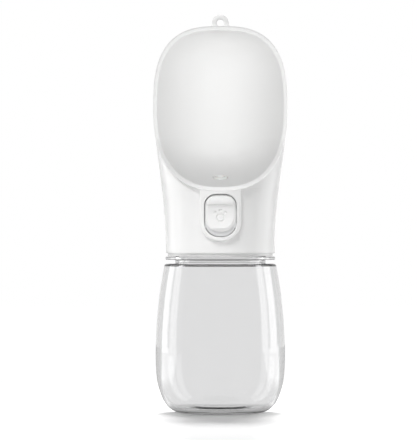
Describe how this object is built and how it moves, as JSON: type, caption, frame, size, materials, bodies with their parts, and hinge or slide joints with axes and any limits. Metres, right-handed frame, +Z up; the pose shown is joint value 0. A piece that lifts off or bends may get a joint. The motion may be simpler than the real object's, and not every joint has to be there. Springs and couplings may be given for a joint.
{
  "type": "dog travel water bottle",
  "caption": "Travel water bottle for a dog: clear bottle with a screw-on drinking head, spoon-shaped bowl and locking push button.",
  "frame": {"origin": "centre of the flat that the bottle stands on, on the bottle's axis", "axes": "+Z up along the bottle's axis, -Y out of the front where the bowl opens, +X to the right as seen from the front"},
  "size_m": [0.0726, 0.07, 0.2156],
  "materials": {
    "clear_bottle": "clear moulded copolyester, polished",
    "white_gloss": "glossy white moulded ABS",
    "satin_white": "satin white moulded ABS",
    "grey_plastic": "light grey moulded plastic",
    "silicone": "translucent white silicone",
    "dark_seal": "black sealing rubber",
    "steel": "stainless steel"
  },
  "bodies": {
    "bottle": {"bottle": "clear_bottle"},
    "seal": {"neck_seal": "silicone"},
    "head": {"threaded_cap": "grey_plastic", "housing_gasket": "dark_seal", "valve_housing": "grey_plastic", "housing_screws": "steel", "rod_oring": "dark_seal", "rod_gland": "grey_plastic", "lever_pin": "steel", "valve_spring": "steel", "outlet_seal": "silicone", "bowl": "satin_white", "head_shell": "white_gloss", "shell_screws": "steel"},
    "carrier": {"button_carrier": "grey_plastic"},
    "cap": {"button_cap": "white_gloss", "cap_clip": "steel"},
    "lever": {"rocker_lever": "grey_plastic"},
    "valve": {"valve_stem": "grey_plastic", "valve_plug": "silicone", "spring_retainer": "grey_plastic"}
  },
  "joints": [
    {"name": "head_lift", "type": "slide", "parent": "bottle", "child": "seal", "axis": [0, 0, 1], "range_m": [0, 0.00601]},
    {"name": "head_turn", "type": "hinge", "parent": "seal", "child": "head", "pos_m": [0, 0, 0.09], "axis": [0, 0, 1], "range_deg": [0, 540]},
    {"name": "button_press", "type": "slide", "parent": "head", "child": "carrier", "axis": [0, 1, 0], "range_m": [0, 0.0022], "stiffness_N_per_m": 400, "springref_m": -0.002},
    {"name": "button_lock", "type": "slide", "parent": "carrier", "child": "cap", "axis": [0, 0, -1], "range_m": [0, 0.0025]},
    {"name": "lever_tilt", "type": "hinge", "parent": "head", "child": "lever", "pos_m": [0, -0.011, 0.1024], "axis": [-1, 0, 0], "range_deg": [0, 16.5]},
    {"name": "valve_open", "type": "slide", "parent": "head", "child": "valve", "axis": [0, 0, -1], "range_m": [0, 0.0035], "deforming": ["valve_spring"]}
  ],
  "couplings": [
    {"joint": "head_lift", "follows": "head_turn", "m_per_rad": 0.00063662},
    {"joint": "lever_tilt", "follows": "button_press", "rad_per_m": 128.2},
    {"joint": "valve_open", "follows": "button_press", "ratio": 1.55}
  ]
}
